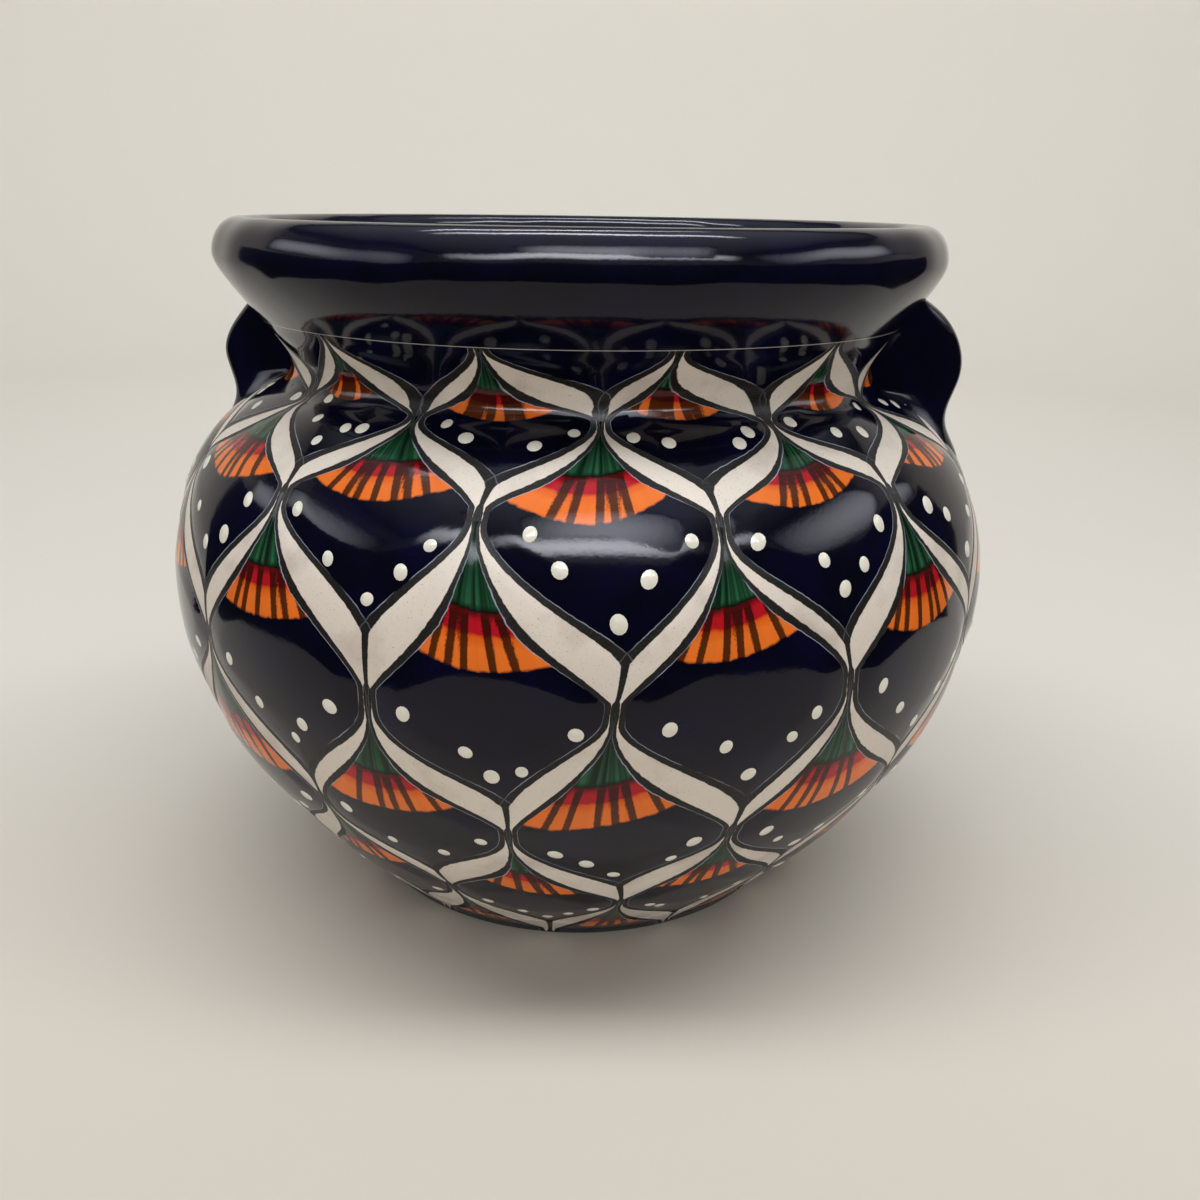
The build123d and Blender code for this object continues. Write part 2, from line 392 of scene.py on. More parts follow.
underside = np.stack([np.linspace(drain + ease, footEase[0, 0], flat), np.zeros(flat)], -1)[:-1]
baseLoop = np.vstack([footEase, baseOut, topFace, boreTop, boreFoot, underside])
baseTurn = turns[None] + 0 * baseLoop[:, :1]
basePoints = roundPoint(baseTurn, baseLoop[:, :1] + 0 * baseTurn, baseLoop[:, 1:] + 0 * baseTurn)


# fields of an unpainted glazed surface: far from leaves and feathers, above the top line
def plainFields(size, far=50.0, noFan=9.0):
    return dict(leaf=np.tile([far, far, -far], (size, 1)), swell=np.zeros((size, 3)),
                fan=np.full((size, 3), noFan), inside=np.zeros(size))


outside = len(footEase) + len(baseOut)
baseFields = plainFields(len(baseLoop) * len(turns))
turnGrid, lengthGrid = np.meshgrid(turns, lengthUp(baseLoop[:outside, 1]))
for key, values in patternAt(turnGrid, lengthGrid).items():  # the painted scales run on down to the foot
    baseFields[key][:outside * len(turns)] = values.reshape(-1, 3)
baseFaces = gridFaces(len(baseLoop), len(turns), True).tolist()
baseDisc = addMesh("baseDisc", basePoints.reshape(-1, 3), baseFaces, baseFields)
bareRow = np.arange(len(baseLoop)) >= outside
baseDisc.data.polygons.foreach_set("material_index", np.repeat(bareRow, len(turns)).astype(np.int32))
print("base disc made")

# ears: level slices with a round nose along the lobe's edge, their root flared onto the wall;
# the edge is given by its height above the neck and how far it stands out of the wall there
earForm = dict(
    sunk=(-41.0, -6.0), tail=(-35.0, 0.0), waist=(-19.5, 6.7), lobe=(-2.5, 32.8), shoulder=(14.5, 16.5),
    top=(29.5, -9.5), fuller=(2.0, 1.8),  # how much higher and further out the right ear's shoulder is
    thickness=21.0, noseShape=2.35, tailTaper=16.0, tailThin=0.6,
    rootFlare=0.36, flareFade=16.0, rootSink=1.2, sink=4.0, leastReach=-1.5, levels=90, roundSteps=44,
)


# smooth curve through points: cubic pieces by the chords' lengths, whose bends agree at each point and
# end at none
def curveThrough(points, steps):
    points = np.array(points, float)
    knots = np.r_[0, np.cumsum(np.hypot(*np.diff(points, axis=0).T))]
    gap, inner = np.diff(knots), np.arange(1, len(points) - 1)
    shares, pull = np.eye(len(points)), np.zeros(points.shape)
    shares[inner, inner - 1], shares[inner, inner + 1] = gap[:-1], gap[1:]
    shares[inner, inner] = 2 * (gap[:-1] + gap[1:])
    pull[1:-1] = 6 * np.diff(np.diff(points, axis=0) / gap[:, None], axis=0)
    bend = np.linalg.solve(shares, pull)
    u = np.linspace(0, knots[-1], steps)
    k = np.clip(np.searchsorted(knots, u, "right") - 1, 0, len(gap) - 1)
    past, left, wide = (u - knots[k])[:, None], (knots[k + 1] - u)[:, None], gap[k][:, None]
    return ((bend[k] * left ** 3 + bend[k + 1] * past ** 3) / (6 * wide)
            + (points[k] / wide - bend[k] * wide / 6) * left
            + (points[k + 1] / wide - bend[k + 1] * wide / 6) * past)


# out from the wall to the edge by a rounded-box curve; the thickness grows at the root, which sinks into
# the wall, and thins down the tail
def addEar(name, side):
    e = earForm
    marks = np.array([e[k] for k in ("sunk", "tail", "waist", "lobe", "shoulder", "top")])
    marks[4] += np.array(e["fuller"]) * (side > 0)
    heights = crease[1] + marks[:, 0]
    edge = curveThrough(np.stack([radiusUp(lengthUp(heights)) + marks[:, 1], heights], -1), e["levels"])
    wallRadius, z = radiusUp(lengthUp(edge[:, 1]))[:, None], edge[:, 1][:, None]
    reachOut = np.maximum(edge[:, :1] - wallRadius, e["leastReach"])
    nose = np.radians(np.linspace(-90, 90, e["roundSteps"]))[None]
    power = 2 / e["noseShape"]
    outShare = np.cos(nose).clip(0) ** power
    acrossShare = np.sign(np.sin(nose)) * np.abs(np.sin(nose)) ** power
    thin = e["tailThin"] + (1 - e["tailThin"]) * smoothStep(0, e["tailTaper"], z - z[0])
    flare = e["rootFlare"] * smoothStep(0, e["flareFade"], z[-1] - z)
    across = e["thickness"] / 2 * acrossShare * (1 + flare * (1 - outShare) ** 3) * thin
    out = wallRadius + reachOut * outShare - across ** 2 / (2 * wallRadius) - e["rootSink"] * (1 - outShare) ** 4
    out = np.hstack([out, out[:, [-1, 0]] - e["sink"]])
    across = np.hstack([across, across[:, [-1, 0]]])
    grid = np.stack([side * out, side * across, z + 0 * out], -1)
    # level loops joined up, with a fan of triangles over each end
    levels, loop = grid.shape[:2]
    ring, last, tip = np.arange(loop), (levels - 1) * loop, levels * loop
    faces = gridFaces(levels, loop).tolist()
    faces += np.stack([np.roll(ring, -1), ring, np.full(loop, tip)], -1).tolist()
    faces += np.stack([last + ring, last + np.roll(ring, -1), np.full(loop, tip + 1)], -1).tolist()
    points = np.vstack([grid.reshape(-1, 3), grid[0].mean(0), grid[-1].mean(0)])
    return addMesh(name, points, faces, plainFields(len(points)))


earRight, earLeft = addEar("earRight", 1), addEar("earLeft", -1)
print("ears made")

# Glossy lead-type glaze over brushed colours: near-black cobalt with blue where it runs thin, chalky white
# leaves with iron specks, grainy dark outlines, feathers of green, red and orange with brown strokes
glazeLook = dict(
    night="#070716", cobalt="#0c0d36", white="#ddd5cc", speck="#85796f", smudge="#bfb3ac",
    ink="#161514", inkGrain="#35322f", pale="#a3aabc", line="#c9c8c4",
    greenDark="#09140e", green="#153a26", greenEdge="#2a5f40", redDark="#6d0d16", red="#b01623",
    orange="#e8752a", orangeDark="#dc5f1c", stroke="#1a0f09", clay="#a9623f", clayDark="#7c432b",
    inkWidth=2.5, seamWidth=1.7, paleGap=0.05, paleWidth=0.26, lineWidth=0.3, strokeWidth=2.2,
    inkRough=0.4, glazeRough=0.09, clayRough=0.85, ior=1.34,
    insideGlaze=178.0, insideRun=16.0, insideEdge=1.5,  # how far down the inside is glazed, and how unevenly
    brushSize=2.4, grainSize=0.45, cloudSize=18.0, peelSize=1.6, peelBump=0.07, peelDepth=0.2,
    brushStray=0.7, grainStray=0.6, fanRagged=0.035,  # how far noise moves the painted edges, mm and share
    greenOver=0.55,  # share of the ink that the green is painted over
)

# raised dots: low domes of thick slip, a loose V of them in each cell
dotForm = dict(
    # share of the half cell, rows below the node
    layout=((-0.62, 1.1), (-0.34, 1.27), (0.03, 1.48), (0.4, 1.3), (0.66, 1.12)),
    stray=(0.07, 0.042), width=4.7, widthSpread=0.45, widthRange=(3.6, 6.2), fullRadius=120.0,
    stretch=(1.0, 1.12), lobes=0.05, height=0.4, domePower=2.4, sunk=0.03,
    clear=0.6, drawIn=0.78, tries=4, fanClear=0.015, footRows=1.15, rings=4, sides=14, seed=3,
)


# places of the dots: each is drawn in towards the middle of its cell until it is clear of the ink;
# dome: height falls off as a power of the share of its radius, so its edge is steep
def dotPoints():
    d, hand = dotForm, np.random.default_rng(dotForm["seed"])
    layout = np.array(d["layout"])
    cells = np.meshgrid(np.arange(rows - 2), np.arange(count), np.arange(len(layout)), indexing="ij")
    k, j, n = (cell.ravel() for cell in cells)
    share, down = (layout[n] + hand.normal(0, 1, (len(k), 2)) * d["stray"]).T
    width = np.clip(hand.normal(d["width"], d["widthSpread"], len(k)), *d["widthRange"])
    stretch, spin = hand.uniform(*d["stretch"], len(k)), hand.uniform(0, np.pi, len(k))
    length = np.interp(k + down, np.arange(rows), rowLength)
    r = radiusUp(length)
    rowShare = np.sqrt((rowLength[k + 1] - rowLength[k + 2]) / q["fullRow"])
    width = width * np.minimum(1, np.minimum(r / d["fullRadius"], rowShare))
    middle = pitch * j + np.interp(k + down, np.arange(rows), rowTurn) - down * pitch / 2
    middle = middle - q["frontPinch"] * np.sin(np.radians(middle))
    half = pitch / 2 * (1 - leafSweep(k + 1, np.clip(down - 1, 0, 1))[0])
    for _ in range(d["tries"]):
        turn = middle + share * half
        paint = patternAt(turn, length)
        clear = paint["swell"][:, 2] - width / 2 * stretch - glazeLook["inkWidth"] - d["clear"]
        share = np.where(clear < 0, share * d["drawIn"], share)
    keep = (clear > 0) & (paint["fan"][:, 0] > 1 + d["fanClear"] * width) & (k + down < rows - d["footRows"])
    turn, length, r, width, stretch, spin = (v[keep] for v in (turn, length, r, width, stretch, spin))
    ring = (np.arange(d["rings"], 0, -1) / d["rings"])[None, :, None]
    around = np.arange(d["sides"]) * 2 * np.pi / d["sides"]
    lobed = 1 + d["lobes"] * np.sin(2 * around + spin[:, None])[:, None]
    shape = width[:, None, None] / 2 * ring * lobed
    u, v = shape * np.cos(around) * stretch[:, None, None], shape * np.sin(around)
    c, s = np.cos(spin)[:, None, None], np.sin(spin)[:, None, None]
    u, v = u * c - v * s, u * s + v * c
    lift = d["height"] * (1 - ring ** d["domePower"]) + 0 * u - d["sunk"]
    turnGrid, lengthGrid = turn[:, None, None] + np.degrees(u / r[:, None, None]), length[:, None, None] + v
    return skinAt(turnGrid, lengthGrid, lift)[0], skinAt(turn, length, d["height"])[0]


grid, tops = dotPoints()
dots, ringCount, sides = grid.shape[:3]
step = np.arange(dots)[:, None, None] * ringCount * sides
lastRing = (ringCount - 1) * sides + np.arange(sides)
topFan = np.stack([lastRing, np.roll(lastRing, -1), 0 * lastRing], -1)[None] + step
topFan[..., 2] = dots * ringCount * sides + np.arange(dots)[:, None]
dotFaces = (gridFaces(ringCount, sides)[None] + step).reshape(-1, 4).tolist() + topFan.reshape(-1, 3).tolist()
raisedDots = addMesh("raisedDots", np.vstack([grid.reshape(-1, 3), tops]), dotFaces)
print("dots:", dots)

# kinds of nodes, and the settings that several of them share
coordNode, fieldNode, splitNode = "ShaderNodeTexCoord", "ShaderNodeAttribute", "ShaderNodeSeparateXYZ"
noiseNode, mathNode = "ShaderNodeTexNoise", "ShaderNodeMath"
rangeNode, mixNode = "ShaderNodeMapRange", "ShaderNodeMix"
operations = ("MULTIPLY", "ADD", "SUBTRACT", "MULTIPLY_ADD", "MINIMUM", "MAXIMUM", "ABSOLUTE")
times, plus, minus, timesPlus, least, most, absolute = ({"operation": name} for name in operations)
rgba = {"data_type": "RGBA"}
noiseScale = lambda size: 1 / (size * mm)  # one cell of the noise for each size in mm


# new material with its node tree and shader
def newMaterial(name):
    material = bpy.data.materials.new(name)
    material.use_nodes = True
    return material, material.node_tree, material.node_tree.nodes["Principled BSDF"]


glaze, tree, shader = newMaterial("glazedEarthenware")
g = glazeLook
colour = {key: linear(value) for key, value in g.items() if isinstance(value, str)}
coords = addNode(tree, coordNode).outputs["Object"]
field, noise = {}, {}
for key in ("leaf", "swell", "fan"):
    stored = addNode(tree, fieldNode, {"attribute_name": key}).outputs["Vector"]
    field[key] = addNode(tree, splitNode, links={0: stored}).outputs
for key, detail in (("brush", 2.0), ("grain", 2.0), ("cloud", 3.0), ("peel", 1.0)):
    settings = {"Scale": noiseScale(g[key + "Size"]), "Detail": detail}
    noise[key] = addNode(tree, noiseNode, settings, {"Vector": coords})
brush, grain, cloud = noise["brush"], noise["grain"], noise["cloud"]
brushShift = addNode(tree, mathNode, {**timesPlus, 1: g["brushStray"], 2: -g["brushStray"] / 2}, {0: brush})
grainShift = addNode(tree, mathNode, {**timesPlus, 1: g["grainStray"], 2: -g["grainStray"] / 2}, {0: grain})
toLine = []  # distance to the edge of the nearest leaf of each line
for axis in ("X", "Y"):
    middleOff = addNode(tree, mathNode, absolute, {0: field["leaf"][axis]})
    edgeOff = addNode(tree, mathNode, minus, {0: middleOff, 1: field["swell"][axis]})
    toLine.append(addNode(tree, mathNode, plus, {0: edgeOff, 1: brushShift}))
toLeaf = addNode(tree, mathNode, least, {0: toLine[0], 1: toLine[1]})
farther = addNode(tree, mathNode, most, {0: toLine[0], 1: toLine[1]})
fromSeam = addNode(tree, mathNode, minus, {0: farther, 1: toLeaf})
fromSeam = addNode(tree, mathNode, plus, {0: fromSeam, 1: grainShift})
fanShare = addNode(tree, mathNode, {**timesPlus, 1: g["fanRagged"]}, {0: brush, 2: field["fan"]["X"]})

# the ink's place, drawn in where the green goes over it, and the pale scratch along its outer edge
greenSettings = {"From Min": 0.5, "From Max": 0.8, "To Min": g["greenOver"] * g["inkWidth"], "To Max": 0.0}
overInk = addNode(tree, rangeNode, greenSettings, {"Value": fanShare})
toInk = addNode(tree, mathNode, plus, {0: toLeaf, 1: overInk})
toInk = addNode(tree, mathNode, plus, {0: toInk, 1: grainShift})
paleSide = []
for off in toLine:
    fromPale = addNode(tree, mathNode, plus, {0: off, 1: overInk})
    fromPale = addNode(tree, mathNode, {**minus, 1: g["inkWidth"] + g["paleGap"]}, {0: fromPale})
    paleSide.append(addNode(tree, mathNode, absolute, {0: fromPale}))
paleOff = addNode(tree, mathNode, least, {0: paleSide[0], 1: paleSide[1]})
lineOff = addNode(tree, mathNode, absolute, {0: field["leaf"]["Z"]})
strokeOff = addNode(tree, mathNode, absolute, {0: field["fan"]["Y"]})
strokeOff = addNode(tree, mathNode, plus, {0: strokeOff, 1: grainShift})
streakSettings = {"noise_dimensions": "1D", "Scale": 1.5, "Detail": 2.5}
streaks = addNode(tree, noiseNode, streakSettings, {"W": field["fan"]["Z"]})

# masks: name, what it goes by, the range it changes over, and its values before and after that
mask = {}
for key, source, low, high, before, after in (
    ("underLine", field["leaf"]["Z"], -0.1, 0.1, 0.0, 1.0),
    ("leaf", toLeaf, -0.1, 0.1, 1.0, 0.0),
    ("offSeam", fromSeam, g["seamWidth"] - 0.15, g["seamWidth"] + 0.15, 0.0, 1.0),
    ("ink", toInk, g["inkWidth"] - 0.12, g["inkWidth"] + 0.12, 1.0, 0.0),
    ("inkGrain", grain, 0.55, 0.68, 0.0, 0.8),
    ("pale", paleOff, 0.3 * g["paleWidth"], 0.7 * g["paleWidth"], 1.0, 0.0),
    ("paleWorn", cloud, 0.36, 0.5, 0.0, 0.85),
    ("paleApart", farther, 3.0, 7.0, 0.25, 1.0),
    ("line", lineOff, 0.3 * g["lineWidth"], 0.7 * g["lineWidth"], 0.7, 0.0),
    ("fan", fanShare, 1.0, 1.02, 1.0, 0.0),
    ("streak", streaks, 0.4, 0.66, 0.9, 0.0),
    ("onlyGreen", fanShare, 0.6, 0.68, 1.0, 0.06),
    ("stroke", strokeOff, g["strokeWidth"] / 2 - 0.15, g["strokeWidth"] / 2 + 0.15, 0.9, 0.0),
    ("belowGreen", fanShare, 0.6, 0.68, 0.0, 1.0),
    ("blue", cloud, 0.42, 0.75, 0.0, 0.4),
    ("speck", grain, 0.66, 0.72, 0.0, 0.75),
    ("smudge", cloud, 0.5, 0.72, 0.0, 0.8),
):
    settings = {"From Min": low, "From Max": high, "To Min": before, "To Max": after}
    mask[key] = addNode(tree, rangeNode, settings, {"Value": source})
# ink runs between two leaves that meet, streaks stay in the green, strokes below it, the pale line comes and goes
for key, other in (("leaf", "offSeam"), ("streak", "onlyGreen"), ("stroke", "belowGreen"),
                   ("paleWorn", "paleApart"), ("pale", "paleWorn")):
    mask[key] = addNode(tree, mathNode, times, {0: mask[key], 1: mask[other]})

# bands of a feather by the share of its radius
fanRamp = addNode(tree, "ShaderNodeValToRGB", links={"Fac": fanShare})
bands = ((0.0, "greenDark"), (0.3, "green"), (0.59, "greenEdge"), (0.63, "greenDark"), (0.645, "redDark"),
         (0.7, "red"), (0.775, "red"), (0.8, "orangeDark"), (0.87, "orange"), (1.0, "orange"))
while len(fanRamp.color_ramp.elements) < len(bands):
    fanRamp.color_ramp.elements.new(0.5)
for element, (place, key) in zip(fanRamp.color_ramp.elements, bands):
    element.position, element.color = place, colour[key]

# the layers of colour, each laid over those before it by its mask; the pale line is one plain colour
painted, inkColour, leafColour = (
    addNode(tree, mixNode, {**rgba, 6: colour[main], 7: colour[other]}, {0: mask[key]}).outputs[2]
    for main, other, key in (
        ("night", "cobalt", "blue"), ("ink", "inkGrain", "inkGrain"), ("white", "smudge", "smudge")))
leafColour = addNode(tree, mixNode, {**rgba, 7: colour["speck"]}, {0: mask["speck"], 6: leafColour}).outputs[2]
feather = fanRamp.outputs["Color"]
for key, layer in (("streak", "greenDark"), ("stroke", "stroke")):
    feather = addNode(tree, mixNode, {**rgba, 7: colour[layer]}, {0: mask[key], 6: feather}).outputs[2]
for key, layer in (("fan", {7: feather}), ("ink", {7: inkColour}), ("pale", {}), ("leaf", {7: leafColour})):
    mask[key] = addNode(tree, mathNode, times, {0: mask[key], 1: mask["underLine"]})
    links = {0: mask[key], 6: painted, **layer}
    painted = addNode(tree, mixNode, {**rgba, 7: colour["pale"]}, links).outputs[2]
painted = addNode(tree, mixNode, {**rgba, 7: colour["line"]}, {0: mask["line"], 6: painted}).outputs[2]

# bare clay inside, below an uneven edge of the glaze
height = addNode(tree, splitNode, links={0: coords}).outputs["Z"]
runEdge = addNode(tree, mathNode, {**timesPlus, 1: g["insideRun"] * mm}, {0: cloud, 2: height})
glazeEnd, glazeFull = g["insideGlaze"] * mm, (g["insideGlaze"] + g["insideEdge"]) * mm
bareSettings = {"From Min": glazeEnd, "From Max": glazeFull, "To Min": 1.0, "To Max": 0.0}
bareBelow = addNode(tree, rangeNode, bareSettings, {"Value": runEdge})
isInside = addNode(tree, fieldNode, {"attribute_name": "inside"}).outputs["Fac"]
bareMask = addNode(tree, mathNode, times, {0: bareBelow, 1: isInside})
clayColour = addNode(tree, mixNode, {**rgba, 6: colour["clay"], 7: colour["clayDark"]}, {0: cloud})
painted = addNode(tree, mixNode, rgba, {0: bareMask, 6: painted, 7: clayColour.outputs[2]}).outputs[2]

# the ink is rougher than the glaze and the clay rougher still; a faint orange peel
inkMore, clayMore = g["inkRough"] - g["glazeRough"], g["clayRough"] - g["glazeRough"]
rough = addNode(tree, mathNode, {**timesPlus, 1: inkMore, 2: g["glazeRough"]}, {0: mask["ink"]})
rough = addNode(tree, mathNode, {**timesPlus, 1: clayMore}, {0: bareMask, 2: rough})
peelSettings = {"Strength": g["peelBump"], "Distance": g["peelDepth"] * mm}
bump = addNode(tree, "ShaderNodeBump", peelSettings, {"Height": noise["peel"]})
tree.links.new(painted, shader.inputs["Base Color"])
tree.links.new(rough.outputs[0], shader.inputs["Roughness"])
tree.links.new(bump.outputs[0], shader.inputs["Normal"])
shader.inputs["IOR"].default_value = g["ior"]

# Thick white slip under the same glaze: raised, smooth, faintly cloudy
enamelLook = dict(white="#ecebe3", warm="#d9d6ca", rough=0.12, cloudSize=2.0)
enamel, tree, shader = newMaterial("raisedWhiteSlip")
coords = addNode(tree, coordNode).outputs["Object"]
cloudSettings = {"Scale": noiseScale(enamelLook["cloudSize"]), "Detail": 2.0}
cloud = addNode(tree, noiseNode, cloudSettings, {"Vector": coords})
white, warm = linear(enamelLook["white"]), linear(enamelLook["warm"])
slip = addNode(tree, mixNode, {**rgba, 6: white, 7: warm}, {0: cloud})
tree.links.new(slip.outputs[2], shader.inputs["Base Color"])
shader.inputs["Roughness"].default_value = enamelLook["rough"]

# Bare fired red clay: matt, gritty, paler where the sand shows
clayLook = dict(
    red="#a9623f", pale="#c58a62", dark="#7c432b", rough=0.85, gritSize=0.8, patchSize=14.0,
    sandRange=(0.58, 0.7), sandShare=0.2, gritBump=0.5, gritDepth=0.3,
)
clay, tree, shader = newMaterial("bareTerracotta")
coords = addNode(tree, coordNode).outputs["Object"]
grit, patch = (addNode(tree, noiseNode, {"Scale": noiseScale(clayLook[key]), "Detail": 3.0}, {"Vector": coords})
               for key in ("gritSize", "patchSize"))
red, pale, dark = (linear(clayLook[key]) for key in ("red", "pale", "dark"))
low, high = clayLook["sandRange"]
sandSettings = {"From Min": low, "From Max": high, "To Max": clayLook["sandShare"]}
sand = addNode(tree, rangeNode, sandSettings, {"Value": grit})
fired = addNode(tree, mixNode, {**rgba, 6: dark, 7: red}, {0: patch})
fired = addNode(tree, mixNode, {**rgba, 7: pale}, {0: sand, 6: fired.outputs[2]})
gritSettings = {"Strength": clayLook["gritBump"], "Distance": clayLook["gritDepth"] * mm}
bump = addNode(tree, "ShaderNodeBump", gritSettings, {"Height": grit})
tree.links.new(fired.outputs[2], shader.inputs["Base Color"])
tree.links.new(bump.outputs[0], shader.inputs["Normal"])
shader.inputs["Roughness"].default_value = clayLook["rough"]

baseDisc.data.materials.append(glaze)  # its outside; the rest of it is bare clay
for piece, material, node, slot in (
    (baseDisc, clay, "base_disc", "terracotta"), (lowerBowl, glaze, "lower_bowl", "glaze"),
    (upperShoulder, glaze, "upper_shoulder", "glaze"), (collar, glaze, "collar", "glaze"),
    (rolledRim, glaze, "rolled_rim", "glaze"), (earRight, glaze, "ear_right", "glaze"),
    (earLeft, glaze, "ear_left", "glaze"), (raisedDots, enamel, None, "glaze"),
):
    piece.data.materials.append(material)
    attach(piece, "root")
    if node:
        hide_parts(node)
print("finishes laid on")

# stage, light and camera: the camera's place and turns come from the rim's ellipse, the scale rows and the
# outline; stage and lamps are in metres
view = dict(turn=7.0, distance=454.6, height=256.0, pitch=18.77, yaw=1.094, roll=1.196, lens=35.326, sensor=36.0)
stageForm = dict(
    rings=(0.02, 0.3, 0.8), flat=1.5, bend=0.6, top=1.7, roundSteps=96, bendSteps=16,
    # the front colour and the range it fades over are painted shade: the paper darker towards the front
    colour="#d6d3cc", paintedShadeColour="#c3bcb0", paintedShade=(-0.45, 0.15), rough=0.9, sky="#d8d3cc", glow=0.15,
)
flagForm = dict(front=0.62, side=0.55, frontHeight=0.5, sideHeight=0.33, turn=105.0, steps=48, colour="#0a0a0a")
world = bpy.context.scene.world or bpy.data.worlds.new("studio")
bpy.context.scene.world = world
bpy.context.scene.view_settings.view_transform = "Standard"

# floor that bends up into a round backdrop: a flat run, a quarter round and a straight rise, turned about Z
flatRun, roundUp = stageForm["flat"], stageForm["bend"]
bendTurn = np.radians(np.linspace(0, 90, stageForm["bendSteps"]))
quarter = np.stack([flatRun + roundUp * np.sin(bendTurn), roundUp * (1 - np.cos(bendTurn))], -1)
inner, rise = [[ring, 0] for ring in stageForm["rings"]], [[flatRun + roundUp, stageForm["top"]]]
sweepLine = np.vstack([inner, quarter, rise]) / mm
a = np.radians(np.arange(stageForm["roundSteps"])[None] * 360 / stageForm["roundSteps"])
sweep = np.stack([sweepLine[:, :1] * np.sin(a), -sweepLine[:, :1] * np.cos(a), sweepLine[:, 1:] + 0 * a], -1)
sweepFaces = gridFaces(len(sweepLine), stageForm["roundSteps"]).tolist() + [list(range(stageForm["roundSteps"]))]
floor = addMesh("paleSweep", sweep.reshape(-1, 3), sweepFaces)

# Matt studio paper: pale, with painted shade that darkens it towards the front, where less light falls
paper, tree, shader = newMaterial("palePaper")
fromFront = addNode(tree, splitNode, links={0: addNode(tree, coordNode).outputs["Object"]}).outputs["Y"]
# painted shade: the front colour mixed in towards the front, where less light falls
shadeSettings = {"From Min": stageForm["paintedShade"][0], "From Max": stageForm["paintedShade"][1]}
paintedShade = addNode(tree, rangeNode, shadeSettings, {"Value": fromFront})
near, far = linear(stageForm["paintedShadeColour"]), linear(stageForm["colour"])
tone = addNode(tree, mixNode, {**rgba, 6: near, 7: far}, {0: paintedShade})
tree.links.new(tone.outputs[2], shader.inputs["Base Color"])
shader.inputs["Roughness"].default_value = stageForm["rough"]
floor.data.materials.append(paper)

world.use_nodes = True
sky = world.node_tree.nodes["Background"].inputs
sky["Color"].default_value, sky["Strength"].default_value = linear(stageForm["sky"]), stageForm["glow"]

# large softboxes that only matt surfaces see light the pot and the paper; place and aim are in metres in the
# camera's frame, before its turn about the pot
lampForm = dict(
    overBox=dict(place=(0, -0.27, 1.45), aim=(0, 0, 0), size=(2.4, 0.4), power=23.0),
    frontBox=dict(place=(0, -1.3, 0.75), aim=(0, 0, 0.15), size=(1.8, 0.7), power=4.2),
    backBox=dict(place=(0, 0.9, 1.5), aim=(0, 1.9, 0.75), size=(2.2, 0.4), power=17.0),
    washBox=dict(place=(0, -1.25, 1.55), aim=(0, -2.1, 0.9), size=(2.2, 0.3), power=9.0),
)
# soft-edged glowing cards that only the gloss sees draw the highlights
cardColour = "#f4f6ff"
cardForm = dict(
    overCard=dict(place=(0, 0.05, 1.2), aim=(0, 0, 0.2), size=(1.1, 0.12), glow=28.0),
    frontCard=dict(place=(0.1, -0.74, 0.98), aim=(0, -0.1, 0.17), size=(0.8, 0.45), glow=9.0),
    beltCard=dict(place=(0.04, -0.86, 0.87), aim=(0, -0.14, 0.165), size=(1.7, 0.2), glow=21.0),
    backCard=dict(place=(-0.15, 0.43, 1.25), aim=(0, -0.1, 0.19), size=(0.9, 0.06), glow=34.0),
    leftCard=dict(place=(-0.9, -0.14, 0.58), aim=(-0.1, 0, 0.2), size=(0.9, 0.26), glow=3.9),
    rightCard=dict(place=(0.9, -0.14, 0.66), aim=(0.1, 0, 0.2), size=(0.9, 0.3), glow=4.6),
    ceiling=dict(place=(0, -0.05, 1.65), aim=(0, 0, 0), size=(3.4, 3.4), glow=1.0),
)
turnBy = math.radians(view["turn"])
cosTurn, sinTurn = math.cos(turnBy), math.sin(turnBy)
spinZ = np.array([[cosTurn, -sinTurn, 0], [sinTurn, cosTurn, 0], [0, 0, 1]])


# rotation that looks along a direction with the roll given, as three columns: right, up, back
def lookAxes(forward, roll=0.0):
    forward = forward / np.linalg.norm(forward)
    right = np.cross(forward, [0, 0, 1])
    right = right / np.linalg.norm(right)
    up = np.cross(right, forward)
    c, s = math.cos(roll), math.sin(roll)
    return np.stack([c * right + s * up, c * up - s * right, -forward], -1)


# puts an item at a place with the axes given, and into the scene
def placeBy(item, place, axes):
    matrix = np.eye(4)
    matrix[:3, :3], matrix[:3, 3] = axes, place
    item.matrix_world = Matrix(matrix.tolist())
    bpy.context.scene.collection.objects.link(item)


for name, form in lampForm.items():
    lamp = bpy.data.lights.new(name, "AREA")
    lamp.shape, lamp.size, lamp.size_y, lamp.energy = "RECTANGLE", *form["size"], form["power"]
    place, aim = spinZ @ np.array(form["place"]), spinZ @ np.array(form["aim"])
    item = bpy.data.objects.new(name, lamp)
    item.visible_glossy = False
    placeBy(item, place, lookAxes(aim - place))

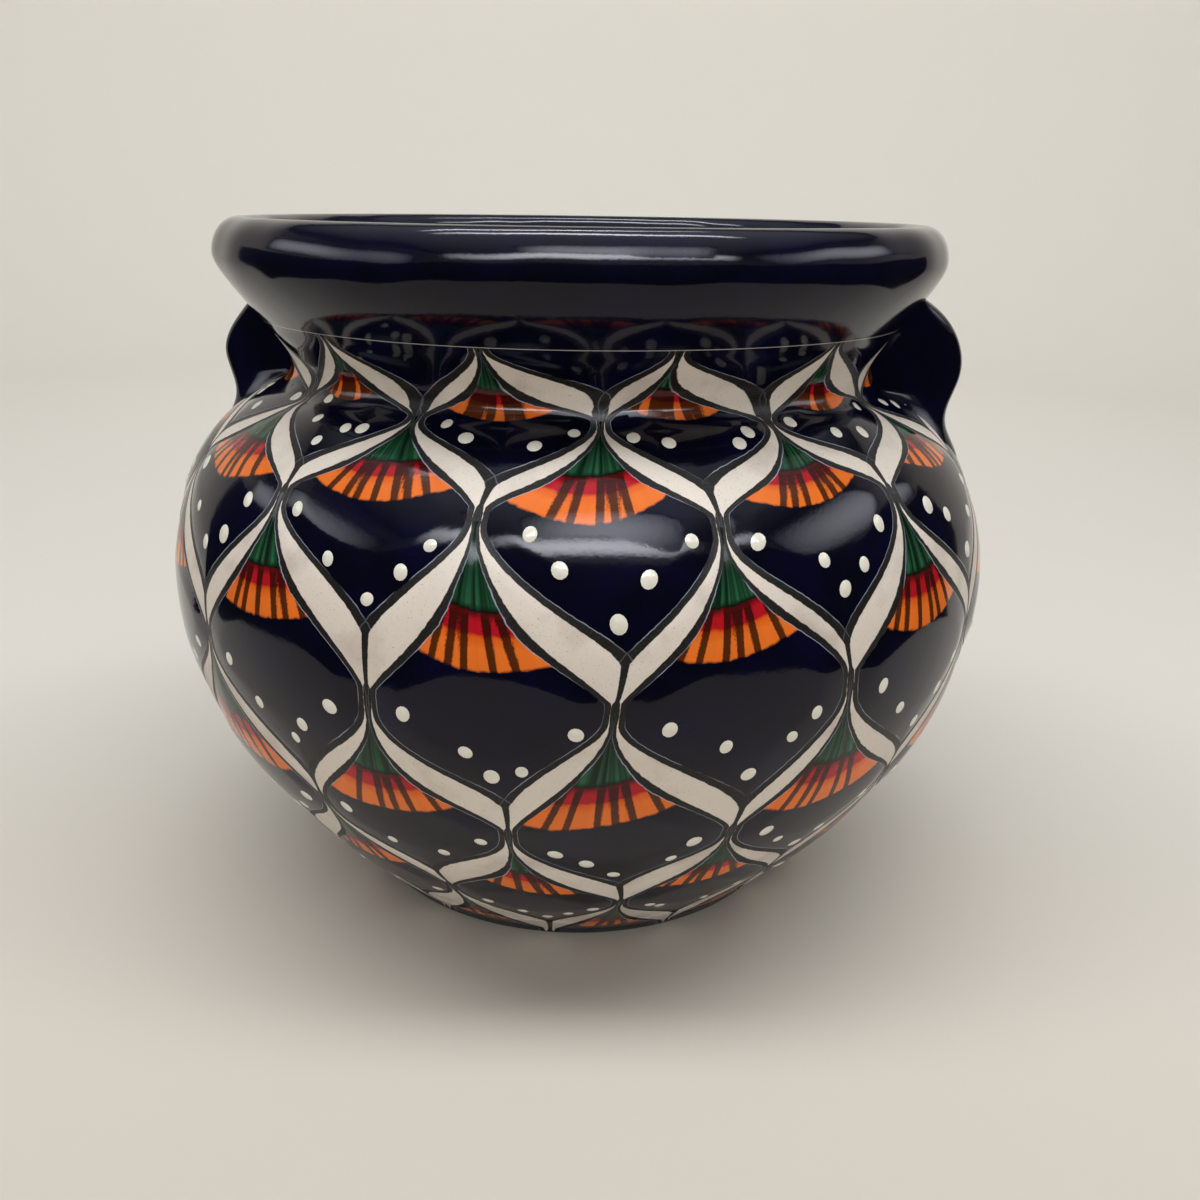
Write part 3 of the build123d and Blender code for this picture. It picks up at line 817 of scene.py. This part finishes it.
# glow of a card: greatest in the middle, falling to none at its edges as one less the square of the way out
for name, form in cardForm.items():
    wide, high = form["size"]
    corners = np.array([[-wide, -high, 0], [wide, -high, 0], [wide, high, 0], [-wide, high, 0]]) / 2 / mm
    card = addMesh(name, corners, [[0, 1, 2, 3]])
    bpy.context.scene.collection.objects.unlink(card)
    silk, tree, _ = newMaterial(name + "Silk")
    across = addNode(tree, splitNode, links={0: addNode(tree, coordNode).outputs["Object"]}).outputs
    fade = []
    for axis, size in (("X", wide), ("Y", high)):
        square = addNode(tree, mathNode, times, {0: across[axis], 1: across[axis]})
        fadeSettings = {**timesPlus, "use_clamp": True, 1: -4 / size ** 2, 2: 1.0}
        fade.append(addNode(tree, mathNode, fadeSettings, {0: square}))
    both = addNode(tree, mathNode, times, {0: fade[0], 1: fade[1]})
    glow = addNode(tree, mathNode, {**times, 1: form["glow"]}, {0: both})
    shine = addNode(tree, "ShaderNodeEmission", {"Color": linear(cardColour)}, {"Strength": glow})
    tree.links.new(shine.outputs[0], tree.nodes["Material Output"].inputs["Surface"])
    card.data.materials.append(silk)
    card.visible_camera = card.visible_diffuse = card.visible_shadow = False
    place, aim = spinZ @ np.array(form["place"]), spinZ @ np.array(form["aim"])
    placeBy(card, place, lookAxes(aim - place))

# black flag bent round the front and sides, seen only in reflections, so that the glaze stays dark towards them
f, steps = flagForm, flagForm["steps"]
bend = np.radians(np.linspace(-f["turn"], f["turn"], steps))
flagFoot = np.stack([f["side"] * np.sin(bend), -f["front"] * np.cos(bend), 0 * bend], -1) @ spinZ.T
flagTop = f["sideHeight"] + (f["frontHeight"] - f["sideHeight"]) * np.cos(bend).clip(0) ** 2
flagPoints = np.vstack([flagFoot, flagFoot + flagTop[:, None] * [0, 0, 1]]) / mm
i = np.arange(steps - 1)
darkFlag = addMesh("darkFlag", flagPoints, np.stack([i, i + 1, i + 1 + steps, i + steps], -1).tolist())
flagCloth, _, shader = newMaterial("blackFlagCloth")
shader.inputs["Base Color"].default_value = linear(f["colour"])
shader.inputs["Roughness"].default_value = 1.0
darkFlag.data.materials.append(flagCloth)
darkFlag.visible_camera = darkFlag.visible_diffuse = darkFlag.visible_shadow = False

camera = bpy.data.cameras.new("photoCamera")
camera.lens, camera.sensor_width = view["lens"], view["sensor"]
cameraPlace = spinZ @ np.array([0, -view["distance"], view["height"]]) * mm
yaw, down = math.radians(view["yaw"]), math.radians(view["pitch"])
forward = spinZ @ np.array([math.sin(yaw) * math.cos(down), math.cos(yaw) * math.cos(down), -math.sin(down)])
cameraItem = bpy.data.objects.new("photoCamera", camera)
placeBy(cameraItem, cameraPlace, lookAxes(forward, math.radians(view["roll"])))
bpy.context.scene.camera = cameraItem
print("stage, lamps and camera set")
